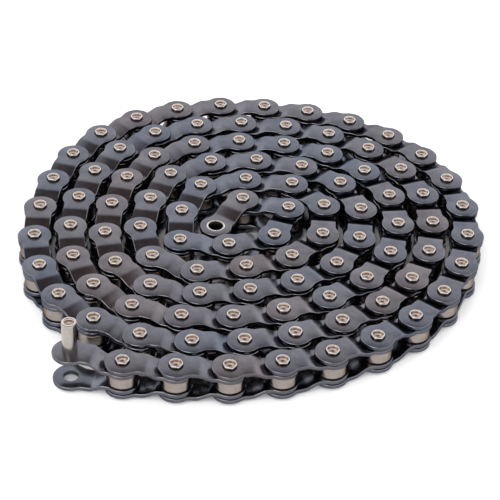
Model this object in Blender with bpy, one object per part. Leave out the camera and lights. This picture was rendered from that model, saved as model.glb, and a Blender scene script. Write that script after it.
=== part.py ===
"""Half-link drive chain wound into a flat coil.

The chain lies on its side, so every chain pin stands along +Z and the lowest pin
heads rest on the ground plane.  Half link k has its wide end on pin k and its
narrow end on pin k + 1.  The eight half links at the free end are built piece by
piece; the rest of the coil is built as strands of four or five fused half links.
"""
import math

import bmesh
import bpy

MM = 0.001

# Chain sizes in millimetres.
PITCH = 12.7
PLATE_T = 1.15
PLATE_GAP = 0.17
INNER_WIDTH = 3.5
HEAD_RISE = 0.8
PIN_R = 1.83
PIN_HOLE_R = 1.85
BUSH_BORE_R = 1.94
BUSH_R = 2.45
BUSH_HOLE_R = 2.47
ROLLER_BORE_R = 2.57
ROLLER_R = 3.875
ROLLER_END_GAP = 0.1
WIDE_R = 4.35
NARROW_R = 4.25
WAIST_HALF = 3.35
BEND_WIDE_X = 5.5
BEND_NARROW_X = 8.2

# Heights of the plate faces above the ground.
WIDE_LOW_Z = HEAD_RISE
NARROW_LOW_Z = WIDE_LOW_Z + PLATE_T + PLATE_GAP
INNER_LOW_Z = NARROW_LOW_Z + PLATE_T
INNER_HIGH_Z = INNER_LOW_Z + INNER_WIDTH
NARROW_HIGH_Z = INNER_HIGH_Z + PLATE_T
WIDE_HIGH_Z = NARROW_HIGH_Z + PLATE_GAP + PLATE_T
PIN_TOP_Z = WIDE_HIGH_Z + HEAD_RISE
CRANK_DROP = PLATE_T + PLATE_GAP

# Riveted pin head.
HEAD_NECK_RISE = 0.1
HEAD_CORNER_R = 2.05
HEAD_DISH_R = 1.3
HEAD_DISH_DEPTH = 0.3
PIN_CHAMFER = 0.35

# The free end: its upper plate is sprung outwards, and its pin stands in that plate.
FREE_PLATE_SPRING = 0.8
PIN_RAISED = WIDE_HIGH_Z - PLATE_T + FREE_PLATE_SPRING

# Layout of the coil: a spiral with four gentle waves, then a tight inner hook.
SPIRAL_FIRST_PIN = 2
SPIRAL_LAST_PIN = 94
SPIRAL_CENTRE = (-5.148, 15.527)
SPIRAL_RADIUS = 60.777
SPIRAL_SHRINK = 1.4364
SPIRAL_SHRINK_CHANGE = -0.0012
SPIRAL_WAVES = ((2.135, -0.769), (1.173, 1.812), (1.297, -0.107), (-0.626, 0.081))
SPIRAL_START = -1.7512
FREE_END_HEADINGS = (-8.5, -1.8)
HOOK_HEADINGS = (271.6, 356.8, 23.2, 73.6, 166.9, 238.2)
BOX_CENTRE = (0.44961, 12.21676)

# How the chain is divided.
FREE_LINKS = 8
STRAND_LENGTHS = (5, 5, 5, 5, 5, 5, 5, 5, 5, 5, 5, 5, 4, 4, 4, 4, 4, 4, 4, 4)

# Facets.
PIN_SIDES = 12
ROLLER_SIDES = 16
LOBE_ARC_STEPS = 8
STRAND_PIN_SIDES = 6
STRAND_ROLLER_SIDES = 6
STRAND_LOBE_R = 4.4
STRAND_LOBE_SPREAD = math.radians(25)
STRAND_TIGHT_TURN = math.radians(44)
STRAND_LONGEST_CHORD = math.radians(74)
STRAND_ARC_STEP = math.radians(48)
STRAND_END_ARC_STEPS = 5

PLATE_COLOUR = (0.075, 0.078, 0.095, 1.0)
PIN_COLOUR = (0.72, 0.66, 0.60, 1.0)
ROLLER_COLOUR = (0.70, 0.66, 0.62, 1.0)
BUSH_COLOUR = (0.62, 0.60, 0.57, 1.0)

UP = (0.0, 0.0, 1.0)


def clear_scene():
    for obj in list(bpy.data.objects):
        bpy.data.objects.remove(obj, do_unlink=True)


# ---------------------------------------------------------------- coil layout


def spiral_point(angle):
    turned = angle - SPIRAL_START
    radius = SPIRAL_RADIUS - SPIRAL_SHRINK * turned
    radius += SPIRAL_SHRINK_CHANGE * turned * turned
    for order, (along, across) in enumerate(SPIRAL_WAVES, start=1):
        radius += along * math.cos(order * angle) + across * math.sin(order * angle)
    x = SPIRAL_CENTRE[0] + radius * math.cos(angle)
    y = SPIRAL_CENTRE[1] + radius * math.sin(angle)
    return x, y


def next_angle(angle):
    """Angle of the spiral point one pitch further on."""
    start = spiral_point(angle)
    low = angle
    high = angle + math.pi / 2
    for _ in range(48):
        middle = (low + high) / 2
        if math.dist(start, spiral_point(middle)) < PITCH:
            low = middle
        else:
            high = middle
    return low


def stepped(point, heading_deg, distance):
    heading = math.radians(heading_deg)
    x = point[0] + distance * math.cos(heading)
    y = point[1] + distance * math.sin(heading)
    return x, y


def pin_places():
    """Plan position of every chain pin, from the free end to the centre."""
    angle = SPIRAL_START
    places = [spiral_point(angle)]
    for _ in range(SPIRAL_LAST_PIN - SPIRAL_FIRST_PIN):
        angle = next_angle(angle)
        places.append(spiral_point(angle))
    for heading in reversed(FREE_END_HEADINGS):
        places.insert(0, stepped(places[0], heading, -PITCH))
    for heading in HOOK_HEADINGS:
        places.append(stepped(places[-1], heading, PITCH))
    return [(x - BOX_CENTRE[0], y - BOX_CENTRE[1]) for x, y in places]


def heading_of(places, link):
    start = places[link]
    end = places[link + 1]
    return math.atan2(end[1] - start[1], end[0] - start[0])


# ---------------------------------------------------------------- shell tools


class Shell:
    """A closed surface in millimetres, put together from rings, walls and caps."""

    def __init__(self):
        self.mesh = bmesh.new()

    def ring(self, points, z):
        """Vertices at plan points; z is one height or a height per point."""
        heights = z if isinstance(z, (list, tuple)) else [z] * len(points)
        return [
            self.mesh.verts.new((x, y, h))
            for (x, y), h in zip(points, heights)
        ]

    def wall(self, first, second):
        count = len(first)
        for i in range(count):
            j = (i + 1) % count
            self.mesh.faces.new((first[i], first[j], second[j], second[i]))

    def walls(self, rings):
        for first, second in zip(rings, rings[1:]):
            self.wall(first, second)

    def lid(self, ring):
        self.mesh.faces.new(ring)

    def cap(self, *loops):
        """Flat face bounded by the first loop, with the other loops as holes."""
        if len(loops) == 1:
            self.lid(loops[0])
            return
        edges = []
        for loop in loops:
            for i, vert in enumerate(loop):
                pair = (vert, loop[(i + 1) % len(loop)])
                edge = self.mesh.edges.get(pair) or self.mesh.edges.new(pair)
                edges.append(edge)
        bmesh.ops.triangle_fill(
            self.mesh, edges=edges, use_beauty=True, use_dissolve=False, normal=UP)

    def finish(self, name, material, smooth_deg=30.0):
        bmesh.ops.recalc_face_normals(self.mesh, faces=self.mesh.faces)
        bmesh.ops.scale(self.mesh, vec=(MM, MM, MM), verts=self.mesh.verts)
        data = bpy.data.meshes.new(name)
        self.mesh.to_mesh(data)
        self.mesh.free()
        obj = bpy.data.objects.new(name, data)
        bpy.context.scene.collection.objects.link(obj)
        obj.data.materials.append(material)
        data.shade_smooth()
        data.set_sharp_from_angle(angle=math.radians(smooth_deg))
        return obj


def circle(radius, sides, centre=(0.0, 0.0), start=0.0):
    points = []
    for i in range(sides):
        angle = start + math.tau * i / sides
        points.append((
            centre[0] + radius * math.cos(angle),
            centre[1] + radius * math.sin(angle),
        ))
    return points


def hexagon(corner_r, sides, centre=(0.0, 0.0), start=0.0):
    """Hexagon drawn with six points or with twelve, corners and flats in turn."""
    flat_r = corner_r * math.cos(math.pi / 6)
    points = []
    for i in range(sides):
        between_corners = i * 6 % sides != 0
        radius = flat_r if between_corners else corner_r
        angle = start + math.tau * i / sides
        points.append((
            centre[0] + radius * math.cos(angle),
            centre[1] + radius * math.sin(angle),
        ))
    return points


def place_on_link(obj, places, link, at_pin):
    """Put an object's origin on a chain pin and turn it along its half link."""
    x, y = places[at_pin]
    obj.location = (x * MM, y * MM, 0.0)
    obj.rotation_euler = (0.0, 0.0, heading_of(places, link))


# ------------------------------------------------------------- chain pieces


def plate_outline():
    """Outline of a plate with its wide end at the origin, and the crank's corners."""
    lobe_exit = math.radians(60)
    wide = []
    narrow = []
    for i in range(LOBE_ARC_STEPS + 1):
        swing = lobe_exit + (math.tau - 2 * lobe_exit) * i / LOBE_ARC_STEPS
        wide.append((WIDE_R * math.cos(swing), WIDE_R * math.sin(swing)))
        turn = math.pi + swing
        narrow.append((
            PITCH + NARROW_R * math.cos(turn),
            NARROW_R * math.sin(turn),
        ))
    lower = [(BEND_WIDE_X, -WAIST_HALF), (BEND_NARROW_X, -WAIST_HALF)]
    upper = [(BEND_NARROW_X, WAIST_HALF), (BEND_WIDE_X, WAIST_HALF)]
    outline = wide + lower + narrow + upper
    corners = len(wide), len(wide) + 1, len(outline) - 2, len(outline) - 1
    return outline, corners


def plate_face(shell, ring, corners, wide_hole, narrow_hole):
    """Wide pad, sloping crank and narrow pad on one side of a plate."""
    low_wide, low_narrow, high_narrow, high_wide = corners
    wide_pad = ring[: low_wide + 1] + [ring[high_wide]]
    narrow_pad = ring[low_narrow : high_narrow + 1]
    ramp = [ring[low_wide], ring[low_narrow], ring[high_narrow], ring[high_wide]]
    shell.cap(wide_pad, wide_hole)
    shell.cap(narrow_pad, narrow_hole)
    shell.lid(ramp)


def cranked_plate(name, places, link, material, top):
    """Cranked plate with a pin hole at its wide end and a bush hole at the other."""
    spring = FREE_PLATE_SPRING if top and link == 0 else 0.0
    outline, corners = plate_outline()
    shell = Shell()
    rings = []
    pin_rings = []
    bush_rings = []
    for side in (0.0, PLATE_T):
        wide_z = WIDE_HIGH_Z - PLATE_T + side + spring
        narrow_z = wide_z - CRANK_DROP - spring
        if not top:
            wide_z = WIDE_LOW_Z + side
            narrow_z = wide_z + CRANK_DROP
        heights = [wide_z if x < BEND_WIDE_X + 0.1 else narrow_z for x, _ in outline]
        ring = shell.ring(outline, heights)
        pin_hole = shell.ring(circle(PIN_HOLE_R, PIN_SIDES), wide_z)
        bush_hole = shell.ring(circle(BUSH_HOLE_R, PIN_SIDES, (PITCH, 0.0)), narrow_z)
        plate_face(shell, ring, corners, pin_hole, bush_hole)
        rings.append(ring)
        pin_rings.append(pin_hole)
        bush_rings.append(bush_hole)
    shell.walls(rings)
    shell.walls(pin_rings)
    shell.walls(bush_rings)
    plate = shell.finish(name, material)
    place_on_link(plate, places, link, link)
    return plate


def riveted_pin(name, places, link, material):
    """Chain pin with a flared six-sided head and a shallow dish at each end."""
    shell = Shell()
    round_ring = circle(PIN_R, PIN_SIDES)
    head_ring = hexagon(HEAD_CORNER_R, PIN_SIDES)
    dish_ring = circle(HEAD_DISH_R, PIN_SIDES)
    dish_floor = circle(HEAD_DISH_R / 2, PIN_SIDES)
    low_neck = WIDE_LOW_Z - HEAD_NECK_RISE
    high_neck = WIDE_HIGH_Z + HEAD_NECK_RISE
    rings = [
        shell.ring(dish_floor, HEAD_DISH_DEPTH),
        shell.ring(dish_ring, 0.0),
        shell.ring(head_ring, 0.0),
        shell.ring(round_ring, low_neck),
        shell.ring(round_ring, high_neck),
        shell.ring(head_ring, PIN_TOP_Z),
        shell.ring(dish_ring, PIN_TOP_Z),
        shell.ring(dish_floor, PIN_TOP_Z - HEAD_DISH_DEPTH),
    ]
    shell.lid(rings[0])
    shell.walls(rings)
    shell.lid(rings[-1])
    pin = shell.finish(name, material)
    place_on_link(pin, places, link, link)
    return pin


def connecting_pin(name, places, material):
    """Unriveted pin that stands raised in the free end's upper plate."""
    shell = Shell()
    end_r = PIN_R - PIN_CHAMFER
    rings = [
        shell.ring(circle(end_r, PIN_SIDES), 0.0),
        shell.ring(circle(PIN_R, PIN_SIDES), PIN_CHAMFER),
        shell.ring(circle(PIN_R, PIN_SIDES), PIN_TOP_Z - PIN_CHAMFER / 2),
        shell.ring(circle(end_r, PIN_SIDES), PIN_TOP_Z),
        shell.ring(circle(HEAD_DISH_R, PIN_SIDES), PIN_TOP_Z),
        shell.ring(circle(HEAD_DISH_R / 2, PIN_SIDES), PIN_TOP_Z - HEAD_DISH_DEPTH),
    ]
    shell.lid(rings[0])
    shell.walls(rings)
    shell.lid(rings[-1])
    pin = shell.finish(name, material)
    place_on_link(pin, places, 0, 0)
    pin.location.z = PIN_RAISED * MM
    return pin


def tube(name, places, link, material, bore_r, outer_r, sides, low_z, high_z):
    """Plain tube standing on the narrow end of a half link."""
    shell = Shell()
    rings = [
        shell.ring(circle(bore_r, sides), low_z),
        shell.ring(circle(outer_r, sides), low_z),
        shell.ring(circle(outer_r, sides), high_z),
        shell.ring(circle(bore_r, sides), high_z),
    ]
    shell.walls(rings)
    shell.wall(rings[-1], rings[0])
    part = shell.finish(name, material)
    place_on_link(part, places, link, link + 1)
    return part


def half_link(places, link, looks):
    """The five pieces of one half link."""
    label = "half_link_%d_" % link
    cranked_plate(label + "top_plate", places, link, looks["plate"], True)
    cranked_plate(label + "bottom_plate", places, link, looks["plate"], False)
    if link == 0:
        connecting_pin("connecting_pin", places, looks["pin"])
    else:
        riveted_pin(label + "pin", places, link, looks["pin"])
    tube(label + "bush", places, link, looks["bush"], BUSH_BORE_R, BUSH_R,
         PIN_SIDES, NARROW_LOW_Z, NARROW_HIGH_Z)
    tube(label + "roller", places, link, looks["roller"], ROLLER_BORE_R, ROLLER_R,
         ROLLER_SIDES, INNER_LOW_Z + ROLLER_END_GAP, INNER_HIGH_Z - ROLLER_END_GAP)


# ------------------------------------------------------------------ strands


def polar(centre, angle, radius):
    return centre[0] + radius * math.cos(angle), centre[1] + radius * math.sin(angle)


def joint_points(places, pin, side):
    """Edge points of a strand beside a pin inside it; side is +1 left, -1 right."""
    before = heading_of(places, pin - 1)
    after = heading_of(places, pin)
    turn = math.remainder(after - before, math.tau)
    centre = places[pin]
    normal_before = before + side * math.pi / 2
    if side * turn > STRAND_TIGHT_TURN:
        return [polar(centre, normal_before + turn / 2, STRAND_LOBE_R)]
    begin = normal_before + side * STRAND_LOBE_SPREAD
    swept = turn - 2 * side * STRAND_LOBE_SPREAD
    steps = 1
    if abs(swept) > STRAND_LONGEST_CHORD:
        steps = math.ceil(abs(swept) / STRAND_ARC_STEP)
    return [polar(centre, begin + swept * i / steps, STRAND_LOBE_R) for i in range(steps + 1)]


def bisector(places, pin):
    """Heading midway between the half links that meet at a pin."""
    before = heading_of(places, pin - 1)
    return before + math.remainder(heading_of(places, pin) - before, math.tau) / 2


def waist_point(places, link, along, side):
    heading = heading_of(places, link)
    middle = polar(places[link], heading, along)
    return polar(middle, heading + side * math.pi / 2, WAIST_HALF)


def end_lobe(centre, away, radius):
    """Rounded end of a strand, going from its left edge round to its right."""
    reach = math.radians(110)
    points = []
    for i in range(STRAND_END_ARC_STEPS + 1):
        swing = away + reach - 2 * reach * i / STRAND_END_ARC_STEPS
        points.append(polar(centre, swing, radius))
    return points


def strand_side(places, first, last, side):
    """Edge of a strand from its first crank to its last, and where those are."""
    points = [
        waist_point(places, first, BEND_WIDE_X, side),
        waist_point(places, first, BEND_NARROW_X, side),
    ]
    for pin in range(first + 1, last + 1):
        points += joint_points(places, pin, side)
        if pin < last:
            points.append(waist_point(places, pin, PITCH / 2, side))
    points += [
        waist_point(places, last, BEND_WIDE_X, side),
        waist_point(places, last, BEND_NARROW_X, side),
    ]
    return points


def strand_outline(places, first, last):
    """Start lobe, right edge, end lobe and left edge, counterclockwise."""
    start_away = heading_of(places, first) + math.pi
    end_away = heading_of(places, last)
    start = end_lobe(places[first], start_away, WIDE_R)
    start.reverse()
    right = strand_side(places, first, last, -1)
    end = end_lobe(places[last + 1], end_away, NARROW_R)
    end.reverse()
    left = strand_side(places, first, last, 1)
    left.reverse()
    return start, right, end, left


def band_heights(parts, level, start_level, end_level):
    """Height of each outline point of one band face."""
    start, right, end, left = parts
    heights = [start_level] * (len(start) + 1)
    heights += [level] * (len(right) - 2)
    heights += [end_level] * (len(end) + 2)
    heights += [level] * (len(left) - 2)
    heights += [start_level]
    return heights


def band_face(shell, ring, parts, holes, start_hole, end_hole, stepped_start, stepped_end):
    """One face of a strand's plate band, split at the crank at a stepped end."""
    start, right, end, _ = parts
    count = len(ring)
    first_ramp = len(start)
    last_ramp = len(start) + len(right) - 2
    end_stop = last_ramp + 1 + len(end) + 1
    body_from = 0
    body = list(ring)
    body_holes = list(holes)
    if stepped_end:
        shell.lid([ring[last_ramp], ring[last_ramp + 1], ring[end_stop], ring[end_stop + 1]])
        shell.cap(ring[last_ramp + 1 : end_stop + 1], *end_hole)
        body = ring[: last_ramp + 1] + ring[end_stop + 1 :]
    else:
        body_holes += end_hole
    if stepped_start:
        lobe = ring[: first_ramp + 1] + [ring[count - 1]]
        shell.cap(lobe, *start_hole)
        shell.lid([ring[first_ramp], ring[first_ramp + 1], ring[count - 2], ring[count - 1]])
        body_from = first_ramp + 1
        body = body[body_from:-1]
    else:
        body_holes += start_hole
    shell.cap(body, *body_holes)


def strand(name, places, first, last, material):
    """Half links first to last as one solid with real half-link ends."""
    shell = Shell()
    parts = strand_outline(places, first, last)
    outline = [point for part in parts for point in part]
    pins = range(first, last + 1)
    low = strand_band(shell, parts, outline, places, first, last, False)
    high = strand_band(shell, parts, outline, places, first, last, True)
    for pin in pins:
        if pin == first:
            shell.wall(low["shafts"][pin], high["shafts"][pin])
        else:
            shell.wall(low["rollers"][pin], high["rollers"][pin])
    shell.wall(low["rollers"][last + 1], high["rollers"][last + 1])
    shell.wall(low["bore"], high["bore"])
    return shell.finish(name, material)


def strand_band(shell, parts, outline, places, first, last, top):
    """Upper or lower plate band of a strand, with the pin heads on it."""
    if top:
        outer, outer_end = WIDE_HIGH_Z, NARROW_HIGH_Z
        inner, inner_start = INNER_HIGH_Z, WIDE_HIGH_Z - PLATE_T
        head_z = PIN_TOP_Z
    else:
        outer, outer_end = WIDE_LOW_Z, NARROW_LOW_Z
        inner, inner_start = INNER_LOW_Z, WIDE_LOW_Z + PLATE_T
        head_z = 0.0
    outer_ring = shell.ring(outline, band_heights(parts, outer, outer, outer_end))
    inner_ring = shell.ring(outline, band_heights(parts, inner, inner_start, inner))
    shell.wall(outer_ring, inner_ring)

    end_centre = places[last + 1]
    roller_turn = heading_of(places, last)
    bore = shell.ring(circle(BUSH_BORE_R / math.cos(math.pi / STRAND_PIN_SIDES),
                             STRAND_PIN_SIDES, end_centre, roller_turn), outer_end)
    heads = []
    rollers = {}
    for pin in range(first, last + 1):
        turn = heading_of(places, pin)
        centre = places[pin]
        neck = shell.ring(circle(PIN_R, STRAND_PIN_SIDES, centre, turn), outer)
        crown = shell.ring(circle(HEAD_CORNER_R, STRAND_PIN_SIDES, centre, turn), head_z)
        shell.wall(neck, crown)
        shell.lid(crown)
        heads.append(neck)
        if pin > first:
            rollers[pin] = shell.ring(
                circle(ROLLER_R, STRAND_ROLLER_SIDES, centre, bisector(places, pin)), inner)
    rollers[last + 1] = shell.ring(
        circle(ROLLER_R, STRAND_ROLLER_SIDES, end_centre, roller_turn), inner)
    shaft = shell.ring(
        circle(PIN_R, STRAND_PIN_SIDES, places[first], heading_of(places, first)),
        inner_start)
    band_face(shell, outer_ring, parts, heads, [], [bore], False, True)
    band_face(shell, inner_ring, parts, list(rollers.values()), [shaft], [], True, False)
    return {"shafts": {first: shaft}, "rollers": rollers, "bore": bore}


# ---------------------------------------------------------------- materials


def metal(name, colour, metallic, roughness):
    material = bpy.data.materials.new(name)
    material.use_nodes = True
    shader = material.node_tree.nodes["Principled BSDF"]
    shader.inputs["Base Color"].default_value = colour
    shader.inputs["Metallic"].default_value = metallic
    shader.inputs["Roughness"].default_value = roughness
    material.diffuse_color = colour
    return material


def make_looks():
    return {
        "plate": metal("plate_black", PLATE_COLOUR, 0.85, 0.42),
        "pin": metal("pin_nickel", PIN_COLOUR, 1.0, 0.3),
        "bush": metal("bush_steel", BUSH_COLOUR, 1.0, 0.28),
        "roller": metal("roller_nickel", ROLLER_COLOUR, 1.0, 0.38),
    }


def build():
    clear_scene()
    places = pin_places()
    looks = make_looks()
    for link in range(FREE_LINKS):
        half_link(places, link, looks)
    first = FREE_LINKS
    for length in STRAND_LENGTHS:
        last = first + length - 1
        strand("strand_%02d_to_%02d" % (first, last), places, first, last, looks["plate"])
        first = last + 1


build()
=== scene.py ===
"""Looks for the coiled half-link drive chain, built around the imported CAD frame."""
import math
import random

import bmesh
import bpy
from mathutils import Matrix, Vector


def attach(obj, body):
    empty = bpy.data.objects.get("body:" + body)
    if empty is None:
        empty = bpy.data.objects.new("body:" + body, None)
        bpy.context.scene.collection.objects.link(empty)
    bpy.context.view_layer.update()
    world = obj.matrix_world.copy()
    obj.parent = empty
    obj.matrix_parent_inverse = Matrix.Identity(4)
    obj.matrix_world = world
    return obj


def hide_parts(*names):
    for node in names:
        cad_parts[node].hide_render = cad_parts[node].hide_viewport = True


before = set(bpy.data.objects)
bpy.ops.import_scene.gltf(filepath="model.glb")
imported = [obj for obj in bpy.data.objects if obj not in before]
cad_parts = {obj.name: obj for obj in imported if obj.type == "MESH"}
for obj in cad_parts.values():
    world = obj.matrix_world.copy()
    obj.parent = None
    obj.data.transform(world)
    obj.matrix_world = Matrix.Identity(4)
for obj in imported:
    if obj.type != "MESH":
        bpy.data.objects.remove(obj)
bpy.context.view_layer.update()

MM = 0.001
UP = (0.0, 0.0, 1.0)

# Chain sizes in millimetres, the same as the frame's.
PITCH = 12.7
PLATE_T = 1.15
PLATE_GAP = 0.17
INNER_WIDTH = 3.5
HEAD_RISE = 0.8
PIN_R = 1.83
PIN_HOLE_R = 1.85
BUSH_BORE_R = 1.94
BUSH_R = 2.45
BUSH_HOLE_R = 2.47
ROLLER_BORE_R = 2.57
ROLLER_R = 3.875
ROLLER_END_GAP = 0.1
WIDE_R = 4.35
NARROW_R = 4.25
WAIST_HALF = 3.35
BEND_WIDE_X = 5.5
BEND_NARROW_X = 8.2

WIDE_LOW_Z = HEAD_RISE
NARROW_LOW_Z = WIDE_LOW_Z + PLATE_T + PLATE_GAP
INNER_LOW_Z = NARROW_LOW_Z + PLATE_T
INNER_HIGH_Z = INNER_LOW_Z + INNER_WIDTH
NARROW_HIGH_Z = INNER_HIGH_Z + PLATE_T
WIDE_HIGH_Z = NARROW_HIGH_Z + PLATE_GAP + PLATE_T
PIN_TOP_Z = WIDE_HIGH_Z + HEAD_RISE
CRANK_DROP = PLATE_T + PLATE_GAP

# The free end: its upper plate is sprung outwards, and its pin stands in that plate.
FREE_PLATE_SPRING = 0.8
PIN_RAISED = WIDE_HIGH_Z - PLATE_T + FREE_PLATE_SPRING

# Layout of the coil, the same as the frame's.
SPIRAL_FIRST_PIN = 2
SPIRAL_LAST_PIN = 94
SPIRAL_CENTRE = (-5.148, 15.527)
SPIRAL_RADIUS = 60.777
SPIRAL_SHRINK = 1.4364
SPIRAL_SHRINK_CHANGE = -0.0012
SPIRAL_WAVES = ((2.135, -0.769), (1.173, 1.812), (1.297, -0.107), (-0.626, 0.081))
SPIRAL_START = -1.7512
FREE_END_HEADINGS = (-8.5, -1.8)
HOOK_HEADINGS = (271.6, 356.8, 23.2, 73.6, 166.9, 238.2)
BOX_CENTRE = (0.44961, 12.21676)
FREE_LINKS = 8

# Fineness of the visible meshes.
ARC_STEPS = 36
PIN_SIDES = 36
BUSH_SIDES = 32
ROLLER_SIDES = 48
EDGE_ROUND = 0.3
ROUND_STEPS = 3
# Wear and painted edge highlight across a plate's rounded edge, from the flat face to the side
# wall.
EDGE_WEAR_AND_HIGHLIGHT = (0.3, 1.0, 0.4, 0.0)
BEND_STATIONS = 9
BEND_SOFT = 0.55


# ---------------------------------------------------------------- coil layout


def spiral_point(angle):
    turned = angle - SPIRAL_START
    radius = SPIRAL_RADIUS - SPIRAL_SHRINK * turned
    radius += SPIRAL_SHRINK_CHANGE * turned * turned
    for order, (along, across) in enumerate(SPIRAL_WAVES, start=1):
        radius += along * math.cos(order * angle) + across * math.sin(order * angle)
    x = SPIRAL_CENTRE[0] + radius * math.cos(angle)
    y = SPIRAL_CENTRE[1] + radius * math.sin(angle)
    return x, y


def next_angle(angle):
    """Angle of the spiral point one pitch further on."""
    start = spiral_point(angle)
    low = angle
    high = angle + math.pi / 2
    for _ in range(48):
        middle = (low + high) / 2
        if math.dist(start, spiral_point(middle)) < PITCH:
            low = middle
        else:
            high = middle
    return low


def stepped(point, heading_deg, distance):
    heading = math.radians(heading_deg)
    x = point[0] + distance * math.cos(heading)
    y = point[1] + distance * math.sin(heading)
    return x, y


def pin_places():
    """Plan position of every chain pin, from the free end to the centre."""
    angle = SPIRAL_START
    places = [spiral_point(angle)]
    for _ in range(SPIRAL_LAST_PIN - SPIRAL_FIRST_PIN):
        angle = next_angle(angle)
        places.append(spiral_point(angle))
    for heading in reversed(FREE_END_HEADINGS):
        places.insert(0, stepped(places[0], heading, -PITCH))
    for heading in HOOK_HEADINGS:
        places.append(stepped(places[-1], heading, PITCH))
    return [(x - BOX_CENTRE[0], y - BOX_CENTRE[1]) for x, y in places]


PLACES = pin_places()


def heading_of(link):
    start = PLACES[link]
    end = PLACES[link + 1]
    return math.atan2(end[1] - start[1], end[0] - start[0])


# ---------------------------------------------------------------- shell tools


class Shell:
    """A closed surface in millimetres, with a wear value on every vertex that holds real
    rubbing and stain and also painted light: highlights, glints, dark reflections and shade.
    """

    def __init__(self):
        self.mesh = bmesh.new()
        self.wear_and_painted_light = self.mesh.verts.layers.float.new("wear_and_painted_light")
        self.tint = self.mesh.verts.layers.float.new("tint")

    def ring(self, points, wear_and_painted_light=0.0):
        """New vertices at the points; wear is one value or a list of one for each, real rubbing
        mixed with painted light.
        """
        made = []
        for i, point in enumerate(points):
            vert = self.mesh.verts.new(point)
            vert[self.wear_and_painted_light] = wear_and_painted_light[i] if isinstance(wear_and_painted_light, list) else wear_and_painted_light
            made.append(vert)
        return made

    def wall(self, first, second):
        count = len(first)
        for i in range(count):
            j = (i + 1) % count
            self.mesh.faces.new((first[i], first[j], second[j], second[i]))

    def walls(self, rings):
        for first, second in zip(rings, rings[1:]):
            self.wall(first, second)

    def cap(self, *loops):
        """Flat face bounded by the first loop, with the other loops as holes."""
        if len(loops) == 1:
            self.mesh.faces.new(loops[0])
            return
        edges = []
        for loop in loops:
            for i, vert in enumerate(loop):
                pair = (vert, loop[(i + 1) % len(loop)])
                edges.append(self.mesh.edges.get(pair) or self.mesh.edges.new(pair))
        bmesh.ops.triangle_fill(
            self.mesh, edges=edges, use_beauty=True, use_dissolve=False, normal=UP)

    def data(self, name):
        bmesh.ops.recalc_face_normals(self.mesh, faces=self.mesh.faces)
        data = bpy.data.meshes.new(name)
        self.mesh.to_mesh(data)
        self.mesh.free()
        return data


def circle(radius, sides, z, centre_x=0.0):
    points = []
    for i in range(sides):
        angle = math.tau * i / sides
        points.append((centre_x + radius * math.cos(angle), radius * math.sin(angle), z))
    return points


# Radius of the circle that a fully rounded hexagon turns into, over its flats' radius.
HEXAGON_ROUNDED = 1.04


def blended_hexagon(corner_r, roundness, sides, z):
    """Hexagon whose corners are drawn in towards a circle by roundness, 0 to 1."""
    points = []
    sector = math.pi / 3
    flat_r = corner_r * math.cos(sector / 2)
    for i in range(sides):
        angle = math.tau * i / sides
        off_flat = (angle % sector) - sector / 2
        sharp_r = flat_r / math.cos(off_flat)
        radius = sharp_r + (flat_r * HEXAGON_ROUNDED - sharp_r) * roundness
        points.append((radius * math.cos(angle), radius * math.sin(angle), z))
    return points


# -------------------------------------------------------------------- plates


def smooth(value):
    value = min(max(value, 0.0), 1.0)
    return value * value * (3 - 2 * value)


def crank_share(x):
    """Share of the crank's step that is behind x, with softly rounded bends."""
    length = BEND_NARROW_X - BEND_WIDE_X
    at = (x - BEND_WIDE_X) / length
    soft = BEND_SOFT / length
    if at < -soft:
        return 0.0
    if at < soft:
        return (at + soft) ** 2 / (4 * soft)
    if at <= 1 - soft:
        return at
    if at < 1 + soft:
        return 1 - (1 + soft - at) ** 2 / (4 * soft)
    return 1.0


# The sides leave each lobe's arc at the blend distance and ease into the straight waist.
WAIST_BLEND_X = 2.2
WAIST_SOFT_X = 5.2
WAIST_EASE = 1.2
WIDE_SIDE_STEPS = 6
NARROW_SIDE_STEPS = 4


def side_profile():
    """Points (x, half depth) from the wide lobe's side to the narrow lobe's."""
    points = []
    wide_y = math.sqrt(WIDE_R ** 2 - WAIST_BLEND_X ** 2)
    narrow_y = math.sqrt(NARROW_R ** 2 - WAIST_BLEND_X ** 2)
    for i in range(1, WIDE_SIDE_STEPS):
        at = i / WIDE_SIDE_STEPS
        x = WAIST_BLEND_X + (WAIST_SOFT_X - WAIST_BLEND_X) * at
        slope = WAIST_BLEND_X / wide_y
        eased = wide_y - slope * (x - WAIST_BLEND_X) * (1 - at) ** WAIST_EASE
        points.append((x, eased + (WAIST_HALF - eased) * smooth(at)))
    first = BEND_WIDE_X - BEND_SOFT
    last = BEND_NARROW_X + BEND_SOFT
    for i in range(BEND_STATIONS + 1):
        x = first + (last - first) * i / BEND_STATIONS
        if x > WAIST_SOFT_X:
            points.append((x, WAIST_HALF))
    for i in range(1, NARROW_SIDE_STEPS):
        at = 1 - i / NARROW_SIDE_STEPS
        x = PITCH - WAIST_BLEND_X - (PITCH - WAIST_BLEND_X - last) * at
        slope = WAIST_BLEND_X / narrow_y
        eased = narrow_y - slope * (PITCH - WAIST_BLEND_X - x) * (1 - at) ** WAIST_EASE
        points.append((x, eased + (WAIST_HALF - eased) * smooth(at)))
    return points


def plate_outline():
    """Outline, counterclockwise from the wide lobe's upper side, and its symmetry."""
    exit_wide = math.acos(WAIST_BLEND_X / WIDE_R)
    exit_narrow = math.acos(WAIST_BLEND_X / NARROW_R)
    wide = []
    narrow = []
    for i in range(ARC_STEPS + 1):
        swing = exit_wide + (math.tau - 2 * exit_wide) * i / ARC_STEPS
        wide.append((WIDE_R * math.cos(swing), WIDE_R * math.sin(swing)))
        turn = math.pi + exit_narrow + (math.tau - 2 * exit_narrow) * i / ARC_STEPS
        narrow.append((PITCH + NARROW_R * math.cos(turn), NARROW_R * math.sin(turn)))
    side = side_profile()
    lower = [(x, -y) for x, y in side]
    upper = [(x, y) for x, y in reversed(side)]
    return wide, lower, narrow, upper


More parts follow.
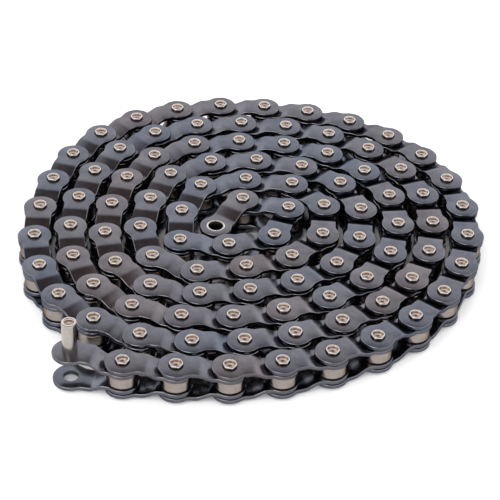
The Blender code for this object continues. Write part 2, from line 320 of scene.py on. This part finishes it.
def outline_normals(outline):
    normals = []
    count = len(outline)
    for i in range(count):
        before = outline[i - 1]
        after = outline[(i + 1) % count]
        along = Vector((after[0] - before[0], after[1] - before[1])).normalized()
        normals.append(Vector((along.y, -along.x)))
    return normals


def plate_mesh(name, top, spring=0.0):
    """Cranked plate with rounded edges, a pin hole and a bush hole.

    A spring above zero raises the wide end of an upper plate by that much.
    """
    wide, lower, narrow, upper = plate_outline()
    outline = wide + lower + narrow + upper
    normals = outline_normals(outline)
    base = WIDE_HIGH_Z - PLATE_T + spring if top else WIDE_LOW_Z
    crank = -CRANK_DROP - spring if top else CRANK_DROP
    shell = Shell()

    def ring_at(inset, height, wear_and_painted_light):
        points = []
        for (x, y), normal in zip(outline, normals):
            z = base + height + crank * crank_share(x)
            points.append((x - normal.x * inset, y - normal.y * inset, z))
        return shell.ring(points, wear_and_painted_light)

    rings = []
    for i in range(ROUND_STEPS + 1):
        swing = math.pi / 2 * i / ROUND_STEPS
        inset = EDGE_ROUND * (1 - math.sin(swing))
        rings.append(ring_at(inset, EDGE_ROUND * (1 - math.cos(swing)), EDGE_WEAR_AND_HIGHLIGHT[i]))
    for i in range(ROUND_STEPS + 1):
        swing = math.pi / 2 * (1 - i / ROUND_STEPS)
        inset = EDGE_ROUND * (1 - math.sin(swing))
        height = PLATE_T - EDGE_ROUND * (1 - math.cos(swing))
        rings.append(ring_at(inset, height, EDGE_WEAR_AND_HIGHLIGHT[ROUND_STEPS - i]))
    shell.walls(rings)

    pin_holes = []
    bush_holes = []
    wide_count = len(wide)
    side_count = len(lower)
    start_flat = 0
    while lower[start_flat][0] < BEND_WIDE_X - BEND_SOFT - 0.01:
        start_flat += 1
    end_flat = side_count - 1
    while lower[end_flat][0] > BEND_NARROW_X + BEND_SOFT + 0.01:
        end_flat -= 1
    total = len(outline)
    low_from = wide_count + start_flat
    low_to = wide_count + end_flat
    high_from = total - 1 - start_flat
    high_to = total - 1 - end_flat
    for ring, height in ((rings[0], 0.0), (rings[-1], PLATE_T)):
        wide_z = base + height
        narrow_z = wide_z + crank
        # Hole rims get a middling value: real rubbing with a painted edge highlight.
        pin_hole = shell.ring(circle(PIN_HOLE_R, BUSH_SIDES, wide_z), 0.5)
        bush_hole = shell.ring(circle(BUSH_HOLE_R, BUSH_SIDES, narrow_z, PITCH), 0.5)
        pin_holes.append(pin_hole)
        bush_holes.append(bush_hole)
        shell.cap(ring[: low_from + 1] + ring[high_from:], pin_hole)
        shell.cap(ring[low_to : high_to + 1], bush_hole)
        for low, high in zip(range(low_from, low_to), range(high_from, high_to, -1)):
            shell.mesh.faces.new((ring[low], ring[low + 1], ring[high - 1], ring[high]))
    shell.walls(pin_holes)
    shell.walls(bush_holes)
    return shell.data(name)


# ------------------------------------------------------ pins, bushes, rollers


def riveted_pin_mesh(name):
    """Shaft with a flared six-sided rivet head and a shallow dish at each end."""
    head = (
        # corner radius, hexagon roundness, depth below the end, wear on flats, on corners (down
        # the side, low flats paint dark reflections and high corners paint glints)
        (0.25, 1.0, 0.24, 0.55, 0.55),
        (0.55, 1.0, 0.34, 0.25, 0.25),
        (0.95, 0.9, 0.44, 0.0, 0.0),
        (1.25, 0.8, 0.36, 0.0, 0.0),
        (1.42, 0.85, 0.10, 0.20, 0.25),
        (1.48, 0.85, 0.02, 1.0, 1.0),
        (1.60, 0.9, 0.0, 1.0, 1.0),
        (1.72, 0.85, 0.04, 1.0, 1.0),
        (1.82, 0.7, 0.15, 0.9, 1.0),
        (1.88, 0.45, 0.28, 0.1, 1.0),
        (1.90, 0.40, 0.62, 0.0, 1.0),
        (1.88, 0.55, 0.72, 0.0, 0.4),
        (PIN_R, 1.0, 0.80, 0.3, 0.3),
    )
    shell = Shell()

    # Down the head's side, low values on the flats paint dark reflections of the plate and high
    # values on the corners paint glints; the dish's raised centre is painted lighter as a
    # reflection.
    def head_ring(row, z):
        radius, roundness, _, flat_wear_and_dark_reflection, corner_wear_and_glint = row
        wear_and_painted_light = []
        for i in range(PIN_SIDES):
            from_corner = i % (PIN_SIDES // 6)
            wear_and_painted_light.append(corner_wear_and_glint if from_corner == 0 else flat_wear_and_dark_reflection)
        return shell.ring(blended_hexagon(radius, roundness, PIN_SIDES, z), wear_and_painted_light)

    rings = [head_ring(row, row[2]) for row in head]
    rings += [head_ring(row, PIN_TOP_Z - row[2]) for row in reversed(head)]
    shell.cap(rings[0])
    shell.walls(rings)
    shell.cap(rings[-1])
    return shell.data(name)


def turned_mesh(name, profile, sides, closed):
    """Lathe shape from (radius, height, wear) rings, the wear value also carrying painted
    shade; closed joins last to first.
    """
    shell = Shell()
    rings = [shell.ring(circle(r, sides, z), wear_and_painted_light) for r, z, wear_and_painted_light in profile]
    shell.walls(rings)
    if closed:
        shell.wall(rings[-1], rings[0])
    else:
        shell.cap(rings[0])
        shell.cap(rings[-1])
    return shell.data(name)


def connecting_pin_mesh(name):
    """Plain round pin: a short lead at the lower end, a dished upper end."""
    top = PIN_TOP_Z
    profile = (
        # radius, height, wear
        (0.9, 0.06, 0.3),
        (1.38, 0.0, 0.9),
        (1.60, 0.05, 1.0),
        (PIN_R, 0.42, 0.9),
        (PIN_R, 0.6, 0.8),
        (PIN_R, top - 0.45, 0.8),
        (PIN_R, top - 0.16, 0.9),
        (1.78, top - 0.05, 1.0),
        (1.66, top, 1.0),
        (1.30, top, 1.0),
        (1.22, top - 0.06, 0.5),
        (1.08, top - 0.36, 0.0),
        (0.70, top - 0.50, 0.0),
        (0.35, top - 0.42, 0.2),
    )
    return turned_mesh(name, profile, PIN_SIDES, False)


def bush_mesh(name):
    low, high, edge = NARROW_LOW_Z, NARROW_HIGH_Z, 0.12
    profile = (
        # radius, height, wear (zero in the bore paints it nearly black as shade)
        (BUSH_BORE_R, low + edge, 0.0),
        (BUSH_BORE_R + edge, low, 1.0),
        (BUSH_R - edge / 2, low, 1.0),
        (BUSH_R, low + edge / 2, 0.8),
        (BUSH_R, high - edge / 2, 0.8),
        (BUSH_R - edge / 2, high, 1.0),
        (BUSH_BORE_R + edge, high, 1.0),
        (BUSH_BORE_R, high - edge, 0.0),
    )
    return turned_mesh(name, profile, BUSH_SIDES, True)


def roller_mesh(name):
    low = INNER_LOW_Z + ROLLER_END_GAP
    high = INNER_HIGH_Z - ROLLER_END_GAP
    soft = 0.1
    edge = 0.3
    profile = (
        # radius, height, wear (low values towards the ends paint shade from the plates)
        (ROLLER_BORE_R, low + soft, 0.0),
        (ROLLER_BORE_R + soft, low, 0.2),
        (ROLLER_R - edge, low, 0.3),
        (ROLLER_R - soft, low + soft, 0.2),
        (ROLLER_R, low + edge, 0.3),
        (ROLLER_R, low + 2 * edge, 1.0),
        (ROLLER_R, high - 2 * edge, 1.0),
        (ROLLER_R, high - edge, 0.5),
        (ROLLER_R - soft, high - soft, 0.3),
        (ROLLER_R - edge, high, 0.3),
        (ROLLER_BORE_R + soft, high, 0.2),
        (ROLLER_BORE_R, high - soft, 0.0),
    )
    return turned_mesh(name, profile, ROLLER_SIDES, True)


# ------------------------------------------------------------------ assembly


def copied(target, source, placement, tint):
    """Adds a placed copy of a mesh to a bmesh and gives it one tint."""
    before = len(target.verts)
    target.from_mesh(source)
    target.verts.ensure_lookup_table()
    layer = target.verts.layers.float["tint"]
    for vert in target.verts[before:]:
        vert.co = placement @ vert.co
        vert[layer] = tint


def new_gathering():
    gathering = bmesh.new()
    # This per-vertex value holds real rubbing and stain together with painted highlights,
    # glints, reflections and shade.
    gathering.verts.layers.float.new("wear_and_painted_light")
    gathering.verts.layers.float.new("tint")
    return gathering


def piece(name, copies, material, body, nodes, origin, smooth_deg):
    """One object from placed copies of prototype meshes, riding on a body."""
    gathering = new_gathering()
    for source, placement, tint in copies:
        copied(gathering, source, placement, tint)
    centre = Vector((origin[0], origin[1], 0.0))
    bmesh.ops.translate(gathering, vec=-centre, verts=gathering.verts)
    bmesh.ops.scale(gathering, vec=(MM, MM, MM), verts=gathering.verts)
    data = bpy.data.meshes.new(name)
    gathering.to_mesh(data)
    gathering.free()
    data.materials.append(material)
    data.shade_smooth()
    data.set_sharp_from_angle(angle=math.radians(smooth_deg))
    obj = bpy.data.objects.new(name, data)
    obj.location = centre * MM
    bpy.context.scene.collection.objects.link(obj)
    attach(obj, body)
    if nodes:
        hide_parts(*nodes)
    return obj


def at_pin(pin, turn, lift=0.0):
    x, y = PLACES[pin]
    return Matrix.Translation((x, y, lift)) @ Matrix.Rotation(turn, 4, "Z")


# ----------------------------------------------------------------- materials


class Look:
    """A node material that is built up from small steps."""

    def __init__(self, name):
        self.material = bpy.data.materials.new(name)
        self.material.use_nodes = True
        self.tree = self.material.node_tree
        self.shader = self.tree.nodes["Principled BSDF"]
        self.coords = self.node("ShaderNodeTexCoord").outputs["Object"]

    def node(self, kind, **inputs):
        made = self.tree.nodes.new(kind)
        for name, value in inputs.items():
            socket = made.inputs[name.replace("_", " ")]
            if isinstance(value, bpy.types.NodeSocket):
                self.tree.links.new(value, socket)
            else:
                socket.default_value = value
        return made

    def noise(self, scale, detail=3.0, roughness=0.55, stretch=None, distortion=0.0):
        coords = self.coords
        if stretch:
            coords = self.node("ShaderNodeMapping", Vector=coords, Scale=stretch).outputs[0]
        made = self.node("ShaderNodeTexNoise", Vector=coords, Scale=scale, Detail=detail,
                         Roughness=roughness, Distortion=distortion)
        return made.outputs["Fac"]

    def attribute(self, name):
        made = self.node("ShaderNodeAttribute")
        made.attribute_name = name
        return made.outputs["Fac"]

    def ramp(self, value, *stops):
        made = self.node("ShaderNodeValToRGB", Fac=value)
        elements = made.color_ramp.elements
        while len(elements) < len(stops):
            elements.new(0.5)
        for element, (position, colour) in zip(elements, stops):
            element.position = position
            element.color = (*colour, 1.0) if len(colour) == 3 else colour
        return made.outputs["Color"]

    def mix(self, factor, first, second, mode="MIX"):
        made = self.tree.nodes.new("ShaderNodeMix")
        made.data_type = "RGBA"
        made.blend_type = mode
        for index, value in ((0, factor), (6, first), (7, second)):
            socket = made.inputs[index]
            if isinstance(value, bpy.types.NodeSocket):
                self.tree.links.new(value, socket)
            elif index == 0:
                socket.default_value = value
            else:
                socket.default_value = (*value, 1.0)
        return made.outputs[2]

    def math(self, operation, first, second):
        made = self.tree.nodes.new("ShaderNodeMath")
        made.operation = operation
        for index, value in ((0, first), (1, second)):
            if isinstance(value, bpy.types.NodeSocket):
                self.tree.links.new(value, made.inputs[index])
            else:
                made.inputs[index].default_value = value
        return made.outputs[0]

    def spread(self, value, low, high):
        """Maps 0 to 1 onto low to high."""
        made = self.node("ShaderNodeMapRange", Value=value)
        made.inputs["To Min"].default_value = low
        made.inputs["To Max"].default_value = high
        return made.outputs[0]

    def put(self, name, value):
        socket = self.shader.inputs[name]
        if isinstance(value, bpy.types.NodeSocket):
            self.tree.links.new(value, socket)
        elif isinstance(value, tuple):
            socket.default_value = (*value, 1.0)
        else:
            socket.default_value = value

    def bump(self, height, strength, distance):
        made = self.node("ShaderNodeBump", Height=height, Strength=strength, Distance=distance)
        self.put("Normal", made.outputs[0])


def plate_look():
    """Black-oxide steel: blue-grey to brown, with fine grain, and edges lightened in speckles
    as real rubbing and as a painted edge highlight.
    """
    look = Look("plate_black_oxide")
    patches = look.noise(170.0, 5.0, 0.62)
    mottle = look.noise(620.0, 5.0, 0.62)
    grain = look.noise(5200.0, 3.0, 0.7)
    blue = look.ramp(patches, (0.34, (0.070, 0.082, 0.106)), (0.66, (0.116, 0.121, 0.142)))
    brown = look.ramp(patches, (0.34, (0.089, 0.078, 0.083)), (0.66, (0.132, 0.120, 0.124)))
    fleck = look.spread(look.noise(1500.0, 3.0, 0.7), -0.45, 0.45)
    hue = look.mix(look.math("ADD", look.attribute("tint"), fleck), blue, brown)
    shade = look.ramp(mottle, (0.30, (0.90, 0.90, 0.91)), (0.70, (1.06, 1.05, 1.05)))
    colour = look.mix(1.0, hue, shade, "MULTIPLY")
    # Painted edge highlight mixed with real rubbing: rounded edges and hole rims go in speckles
    # towards one even grey, a little lighter than most of the plate.
    rubbed_and_glint_speckle = look.ramp(look.noise(1900.0, 2.0, 0.6), (0.45, (0.12,) * 3), (0.68, (1.0,) * 3))
    worn_and_highlit = look.math("MULTIPLY", look.attribute("wear_and_painted_light"), rubbed_and_glint_speckle)
    look.put("Base Color", look.mix(worn_and_highlit, colour, (0.115, 0.115, 0.12)))
    look.put("Specular Tint", (0.45, 0.45, 0.47))
    look.put("Metallic", 1.0)
    look.put("Roughness", look.spread(mottle, 0.16, 0.26))
    height = look.math("ADD", look.math("MULTIPLY", grain, 0.5), mottle)
    look.bump(height, 0.35, 0.00004)
    return look.material


def pin_look():
    """Bright nickel with warm brown stain in the dished ends; the brown also paints dark
    reflections down the head's side flats, and the clean colour paints glints on its corners.
    """
    look = Look("pin_bright_nickel")
    stain = look.noise(900.0, 4.0, 0.6)
    fine = look.noise(4200.0, 3.0, 0.6)
    warm = look.ramp(stain, (0.30, (0.14, 0.092, 0.068)), (0.75, (0.34, 0.265, 0.215)))
    clean = look.ramp(fine, (0.30, (0.29, 0.27, 0.255)), (0.70, (0.42, 0.395, 0.375)))
    look.put("Base Color", look.mix(look.attribute("wear_and_painted_light"), warm, clean))
    look.put("Metallic", 1.0)
    look.put("Roughness", look.spread(fine, 0.14, 0.26))
    look.bump(look.math("ADD", fine, stain), 0.25, 0.00005)
    return look.material


def roller_look():
    """Warm satin nickel with faint turning rings, darkened brown towards its ends as painted
    shade from the plates.
    """
    look = Look("roller_satin_nickel")
    rings = look.noise(700.0, 3.0, 0.6, stretch=(0.12, 0.12, 6.0))
    haze = look.noise(420.0, 4.0, 0.6)
    colour = look.ramp(haze, (0.28, (0.27, 0.235, 0.215)), (0.72, (0.36, 0.32, 0.295)))
    ringed = look.ramp(rings, (0.30, (0.86,) * 3), (0.70, (1.06,) * 3))
    clean = look.mix(1.0, colour, ringed, "MULTIPLY")
    # Painted shade: the brown multiply darkens the roller towards its ends and bore, where the
    # plates overhang it.
    painted_end_shade = look.mix(1.0, clean, (0.34, 0.27, 0.22), "MULTIPLY")
    look.put("Base Color", look.mix(look.attribute("wear_and_painted_light"), painted_end_shade, clean))
    look.put("Specular Tint", (0.40, 0.35, 0.31))
    look.put("Metallic", 1.0)
    look.put("Roughness", look.spread(haze, 0.14, 0.25))
    look.bump(rings, 0.3, 0.00003)
    return look.material


def bush_look():
    """Ground steel tube whose bore is painted nearly black as shade."""
    look = Look("bush_ground_steel")
    rings = look.noise(800.0, 3.0, 0.6, stretch=(0.15, 0.15, 5.0))
    haze = look.noise(650.0, 4.0, 0.6)
    ground = look.ramp(haze, (0.30, (0.34, 0.32, 0.30)), (0.70, (0.50, 0.47, 0.44)))
    # Painted shade: the bore is coloured nearly black.
    painted_bore_shade = look.ramp(haze, (0.30, (0.030, 0.024, 0.020)), (0.70, (0.055, 0.045, 0.038)))
    look.put("Base Color", look.mix(look.attribute("wear_and_painted_light"), painted_bore_shade, ground))
    look.put("Metallic", 1.0)
    look.put("Roughness", look.spread(rings, 0.22, 0.40))
    look.bump(rings, 0.25, 0.00003)
    return look.material


def floor_look():
    """Matte white studio floor with a faint tooth."""
    look = Look("studio_floor")
    cloud = look.noise(6.0, 2.0, 0.5)
    look.put("Base Color", look.ramp(cloud, (0.2, (0.93,) * 3), (0.8, (0.96,) * 3)))
    look.put("Roughness", look.spread(cloud, 0.85, 0.95))
    return look.material


# ------------------------------------------------------------- chain building

CHANCE = random.Random(7)
HEAD_TURN = math.radians(9.0)


def plate_tint(link, upper):
    """Blue-grey at 0, brown at 1; neighbours differ a little."""
    drift = 0.42 + 0.30 * math.sin(link * 0.37 + 1.2) + CHANCE.uniform(-0.34, 0.34)
    return min(max(drift if upper else drift - 0.3, 0.0), 1.0)


def link_copies(meshes, link):
    """Placed copies of the five pieces of one half link, by kind."""
    turn = heading_of(link)
    found = {
        "top_plate": [(meshes["top_plate"], at_pin(link, turn), plate_tint(link, True))],
        "bottom_plate": [(meshes["bottom_plate"], at_pin(link, turn), plate_tint(link, False))],
        "bush": [(meshes["bush"], at_pin(link + 1, turn), CHANCE.random())],
        "roller": [(meshes["roller"], at_pin(link + 1, turn), CHANCE.random())],
    }
    head_turn = CHANCE.uniform(-HEAD_TURN, HEAD_TURN)
    if link:
        found["pin"] = [(meshes["pin"], at_pin(link, head_turn), CHANCE.random())]
    else:
        found["pin"] = [(meshes["connecting_pin"], at_pin(0, 0.0, PIN_RAISED), 0.5)]
    return found


KINDS = ("top_plate", "bottom_plate", "pin", "bush", "roller")
PLURALS = {"top_plate": "top_plates", "bottom_plate": "bottom_plates", "pin": "pins",
           "bush": "bushes", "roller": "rollers"}
SMOOTH_DEG = {"top_plate": 24, "bottom_plate": 24, "pin": 40, "bush": 50, "roller": 50}


def build_chain(looks):
    meshes = {
        "top_plate": plate_mesh("proto_top_plate", True),
        "bottom_plate": plate_mesh("proto_bottom_plate", False),
        "pin": riveted_pin_mesh("proto_pin"),
        "connecting_pin": connecting_pin_mesh("proto_connecting_pin"),
        "bush": bush_mesh("proto_bush"),
        "roller": roller_mesh("proto_roller"),
    }
    for link in range(FREE_LINKS):
        found = link_copies(meshes, link)
        if link == 0:
            sprung = plate_mesh("proto_sprung_plate", True, FREE_PLATE_SPRING)
            found["top_plate"] = [(sprung, *found["top_plate"][0][1:])]
        for kind in KINDS:
            body = "link_%d" % link
            node = "half_link_%d_%s" % (link, kind)
            if kind == "roller":
                body = "roller_%d" % link
            if kind == "pin" and link == 0:
                body = node = "connecting_pin"
            pin = link + 1 if kind in ("bush", "roller") else link
            piece(node + "_look", found[kind], looks[kind], body, [node],
                  PLACES[pin], SMOOTH_DEG[kind])
    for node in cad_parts:
        if node.startswith("strand_"):
            build_strand(node, meshes, looks)


def build_strand(node, meshes, looks):
    """The loose pieces of one strand, gathered by kind."""
    _, first, _, last = node.split("_")
    links = range(int(first), int(last) + 1)
    gathered = {kind: [] for kind in KINDS}
    for link in links:
        found = link_copies(meshes, link)
        for kind in KINDS:
            gathered[kind] += found[kind]
    for kind in KINDS:
        piece("%s_%s" % (node, PLURALS[kind]), gathered[kind], looks[kind], "coil",
              [node], PLACES[links[0]], SMOOTH_DEG[kind])


# --------------------------------------------------- floor, lights and camera

FLOOR_SIDE = 6.0
FLOOR_DROP = 0.00002
KEY_PLACE = (-0.28, -0.50, 0.78)
KEY_SIDE = 0.6
KEY_WATTS = 3.2
SURROUND_STRENGTH = 2.5
# Colour of the surround by the sine of the elevation, from the horizon to overhead.
SURROUND = (
    (0.0, (1.0, 1.0, 1.0)),
    (0.42, (1.0, 1.0, 1.0)),
    (0.60, (0.76, 0.77, 0.79)),
    (0.70, (0.66, 0.66, 0.68)),
    (0.82, (0.30, 0.29, 0.29)),
    (0.91, (0.13, 0.10, 0.095)),
    (1.0, (0.10, 0.076, 0.072)),
)
CAMERA_PLACE = (-0.00045, -0.339725, 0.265677)
CAMERA_TILT_DOWN = math.radians(37.974)
CAMERA_ROLL = math.radians(2.865)
CAMERA_LENS = 116.58


def add_floor():
    shell = Shell()
    half = FLOOR_SIDE / 2
    corners = [(-half, -half, 0.0), (half, -half, 0.0), (half, half, 0.0), (-half, half, 0.0)]
    shell.cap(shell.ring(corners))
    data = shell.data("floor")
    data.materials.append(floor_look())
    floor = bpy.data.objects.new("floor", data)
    floor.location = (0.0, 0.0, -FLOOR_DROP)
    bpy.context.scene.collection.objects.link(floor)


def add_key_light():
    """Soft square light at the front left, aimed at the coil."""
    data = bpy.data.lights.new("key_softbox", "AREA")
    data.shape = "SQUARE"
    data.size = KEY_SIDE
    data.energy = KEY_WATTS
    light = bpy.data.objects.new("key_softbox", data)
    light.location = KEY_PLACE
    light.rotation_euler = (-Vector(KEY_PLACE)).to_track_quat("-Z", "Y").to_euler()
    bpy.context.scene.collection.objects.link(light)


def add_world():
    """Pale studio surround: bright round the horizon, dimmer overhead."""
    world = bpy.data.worlds.new("studio")
    bpy.context.scene.world = world
    world.use_nodes = True
    tree = world.node_tree
    coords = tree.nodes.new("ShaderNodeTexCoord")
    split = tree.nodes.new("ShaderNodeSeparateXYZ")
    ramp = tree.nodes.new("ShaderNodeValToRGB")
    tree.links.new(coords.outputs["Generated"], split.inputs[0])
    tree.links.new(split.outputs["Z"], ramp.inputs["Fac"])
    elements = ramp.color_ramp.elements
    while len(elements) < len(SURROUND):
        elements.new(0.5)
    for element, (position, colour) in zip(elements, SURROUND):
        element.position = position
        element.color = (*colour, 1.0)
    background = tree.nodes["Background"]
    tree.links.new(ramp.outputs["Color"], background.inputs["Color"])
    background.inputs["Strength"].default_value = SURROUND_STRENGTH


def add_camera():
    data = bpy.data.cameras.new("camera")
    data.lens = CAMERA_LENS
    data.clip_start = 0.01
    camera = bpy.data.objects.new("camera", data)
    level = Matrix.Rotation(math.pi / 2 - CAMERA_TILT_DOWN, 4, "X")
    roll = Matrix.Rotation(CAMERA_ROLL, 4, "Z")
    camera.matrix_world = Matrix.Translation(CAMERA_PLACE) @ level @ roll
    bpy.context.scene.collection.objects.link(camera)
    bpy.context.scene.camera = camera
    bpy.context.scene.view_settings.view_transform = "Standard"


plate = plate_look()
LOOKS = {
    "top_plate": plate,
    "bottom_plate": plate,
    "pin": pin_look(),
    "bush": bush_look(),
    "roller": roller_look(),
}
build_chain(LOOKS)
add_floor()
add_world()
add_key_light()
add_camera()
